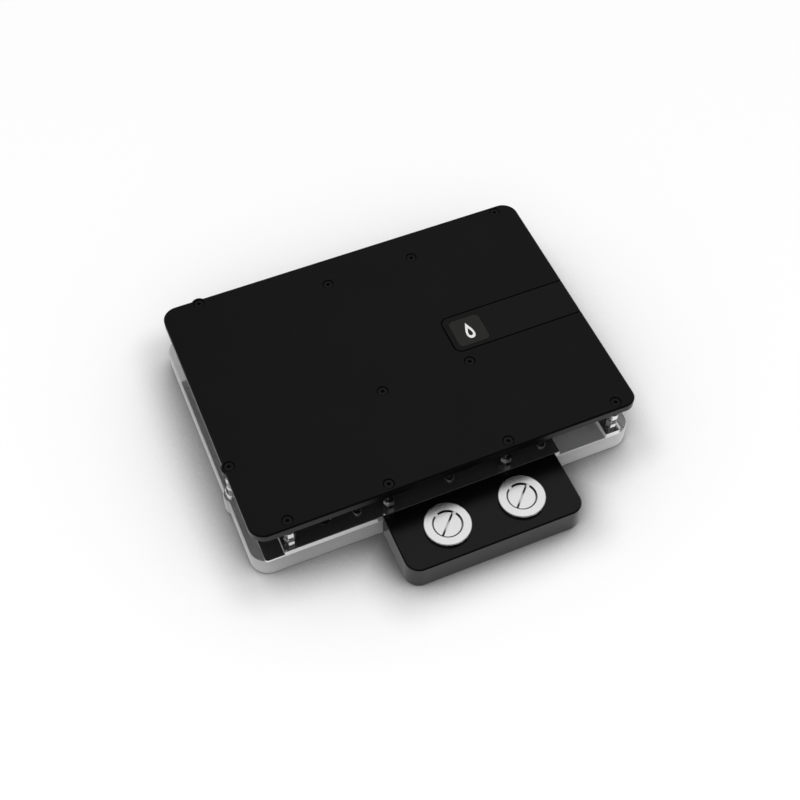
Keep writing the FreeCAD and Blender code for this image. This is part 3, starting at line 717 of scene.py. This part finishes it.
class COLDPLATE_OT_stage(bpy.types.Operator):
    """Set the pale floor, the soft lamps, the world and the camera"""
    bl_idname = PREFIX + ".stage"
    bl_label = "Stage"
    bl_options = {"REGISTER", "UNDO"}

    def execute(self, context):
        studio = context.scene.cold_plate_studio
        self.floor(studio)
        self.world(context, studio)
        self.lamps(studio)
        self.camera(context, studio)
        context.scene.view_settings.view_transform = "Standard"
        return {"FINISHED"}

    def floor(self, studio):
        """Pale floor whose backdrop white grows with the distance from the part's footprint,
        leaving a painted soft shadow round it. Its colour is darkened by ambient occlusion near the
        part, a painted contact shadow with its own tone below the clear housing for rays through
        it, and it lies just under the part, so no faces coincide."""
        s = new_shader("floor_pale")
        # Painted contact shadow: ambient occlusion darkens the floor's colour near the part.
        open_floor = s.eased(s.shelter(studio.contact), 0.35, 0.9)
        pale = tuple(studio.floor)
        through = s.add("ShaderNodeLightPath", output="Is Transmission Ray")
        # Painted shadow tones: the contact tone, and the under-shadow tone for rays through the
        # clear housing.
        painted_shadow = s.between(through, [c * studio.contact_tone for c in pale],
                         [c * studio.under_shadow_tone for c in pale])
        tint = s.between(open_floor, painted_shadow, pale)
        base = s.add("ShaderNodeBsdfDiffuse", None, {"Color": tint})
        body = s.beyond(*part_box("coolant_housing"))
        terminal = s.beyond(*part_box("terminal_block"))
        # Painted soft shadow: the emission that lifts the floor to white fades out towards the
        # part's footprint.
        painted_halo_lift = s.eased(body.at_most(terminal), 0.0, studio.halo, 0.0, studio.floor_lift)
        seen = (s.add("ShaderNodeLightPath", output="Is Camera Ray") + through) * painted_halo_lift
        mirrored = s.add("ShaderNodeLightPath", output="Is Glossy Ray") * (1.0 - through)
        seen = seen + mirrored * studio.mirror_lift
        lift = s.add("ShaderNodeEmission", None, {"Color": (1.0, 1.0, 1.0), "Strength": seen})
        both = s.add("ShaderNodeAddShader", None, {0: base, 1: lift})
        s.add("ShaderNodeOutputMaterial", None, {"Surface": both})
        half, level = 4.0, CAD_BOUNDS[0][2] - 0.05 * MM
        verts = np.array([(-half, -half, level), (half, -half, level),
                          (half, half, level), (-half, half, level)])
        mesh = bpy.data.meshes.new("floor")
        mesh.from_pydata(verts.tolist(), [], [(0, 1, 2, 3)])
        mesh.materials.append(s.owner)
        floor = bpy.data.objects.new("floor", mesh)
        bpy.context.collection.objects.link(floor)

    def world(self, context, studio):
        """White for the camera and through clear parts and an even grey for rough surfaces.
        Mirrors see a dim room with a soft white panel high behind the part: the dot product of
        the ray with the panel's direction, eased from the room's level up to the panel's. The
        room darkens in the same way towards the dark doorway in front."""
        world = bpy.data.worlds.new("studio")
        context.scene.world = world
        s = Shader(world)
        rays = [s.add("ShaderNodeLightPath", output=name)
                for name in ("Is Camera Ray", "Is Transmission Ray", "Is Glossy Ray")]
        ray = s.add("ShaderNodeTexCoord", output="Generated")
        facing, door = [s.add("ShaderNodeVectorMath", {"operation": "DOT_PRODUCT"},
                              {0: ray, 1: away_from(azimuth, elevation)}, output="Value")
                        for azimuth, elevation in
                        ((studio.panel_azimuth, studio.panel_elevation),
                         (studio.door_azimuth, studio.door_elevation))]
        room = s.eased(door, math.cos(studio.door_reach), math.cos(studio.door_core),
                       studio.room, studio.room * studio.door_tone)
        mirrored = s.add("ShaderNodeMapRange", {"interpolation_type": "SMOOTHSTEP"},
                         {"Value": facing, "From Min": math.cos(studio.panel_reach),
                          "From Max": math.cos(studio.panel_core), "To Min": room,
                          "To Max": studio.panel})
        clear = (rays[0] + rays[1]).at_most(1.0)
        strength = studio.ambient + clear * (1.0 - studio.ambient)
        strength = strength + rays[2] * (1.0 - rays[1]) * (mirrored - studio.ambient)
        light = s.add("ShaderNodeBackground", None, {"Color": (1.0, 1.0, 1.0),
                                                     "Strength": strength})
        s.add("ShaderNodeOutputWorld", None, {"Surface": light})

    def lamps(self, studio):
        """One large soft lamp that mirrors don't see, aimed at the backplate's middle."""
        lamp = bpy.data.lights.new("key", "AREA")
        lamp.shape = "DISK"
        lamp.size = studio.key_size
        lamp.energy = studio.key_power
        holder = bpy.data.objects.new("key", lamp)
        bpy.context.collection.objects.link(holder)
        away = away_from(studio.key_azimuth, studio.key_elevation)
        holder.location = node_centre("backplate") + away * studio.key_distance
        holder.visible_glossy = False
        holder.rotation_euler = away.to_track_quat("Z", "Y").to_euler()

    def camera(self, context, studio):
        """Camera on a sphere round its aim point, which is measured on the backplate's top."""
        low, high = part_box("backplate")
        aim = Vector((low[0], low[1], high[2]))
        aim += Vector((studio.aim_x, studio.aim_y, 0))
        turn, rise = studio.azimuth, studio.elevation
        towards = Vector((-math.sin(turn) * math.cos(rise), math.cos(turn) * math.cos(rise),
                          -math.sin(rise)))
        lens = bpy.data.cameras.new("camera")
        lens.lens = studio.lens
        lens.sensor_width = 36.0
        lens.clip_start = 0.01
        camera = bpy.data.objects.new("camera", lens)
        bpy.context.collection.objects.link(camera)
        camera.location = aim - towards * studio.distance
        level = towards.to_track_quat("-Z", "Y")
        camera.rotation_mode = "QUATERNION"
        camera.rotation_quaternion = level @ Matrix.Rotation(studio.roll, 3, "Z").to_quaternion()
        context.scene.camera = camera


class COLDPLATE_PT_panel(bpy.types.Panel):
    """Lists the pieces in the 3D view's sidebar"""
    bl_idname = "COLDPLATE_PT_panel"
    bl_label = "Cold Plate"
    bl_space_type = "VIEW_3D"
    bl_region_type = "UI"
    bl_category = "Cold Plate"

    def draw(self, context):
        for operator in OPERATORS:
            self.layout.operator(operator.bl_idname)
        for group in (context.scene.cold_plate_finishes, context.scene.cold_plate_details,
                      context.scene.cold_plate_studio):
            column = self.layout.column()
            for key in group.bl_rna.properties.keys():
                if key not in ("rna_type", "name"):
                    column.prop(group, key)


SETTINGS = (("cold_plate_finishes", ColdPlateFinishes), ("cold_plate_details", ColdPlateDetails),
            ("cold_plate_studio", ColdPlateStudio))
OPERATORS = (COLDPLATE_OT_backplate, COLDPLATE_OT_badge, COLDPLATE_OT_screws, COLDPLATE_OT_posts,
             COLDPLATE_OT_cold_plate, COLDPLATE_OT_housing, COLDPLATE_OT_terminal,
             COLDPLATE_OT_plugs, COLDPLATE_OT_stage)


def register():
    for name, group in SETTINGS:
        bpy.utils.register_class(group)
        setattr(bpy.types.Scene, name, bpy.props.PointerProperty(type=group))
    for operator in OPERATORS:
        bpy.utils.register_class(operator)
    bpy.utils.register_class(COLDPLATE_PT_panel)


def unregister():
    bpy.utils.unregister_class(COLDPLATE_PT_panel)
    for operator in reversed(OPERATORS):
        bpy.utils.unregister_class(operator)
    for name, group in reversed(SETTINGS):
        delattr(bpy.types.Scene, name)
        bpy.utils.unregister_class(group)


def main():
    register()
    for operator in OPERATORS:
        area, name = operator.bl_idname.split(".")
        getattr(getattr(bpy.ops, area), name)()


if __name__ == "__main__":
    main()
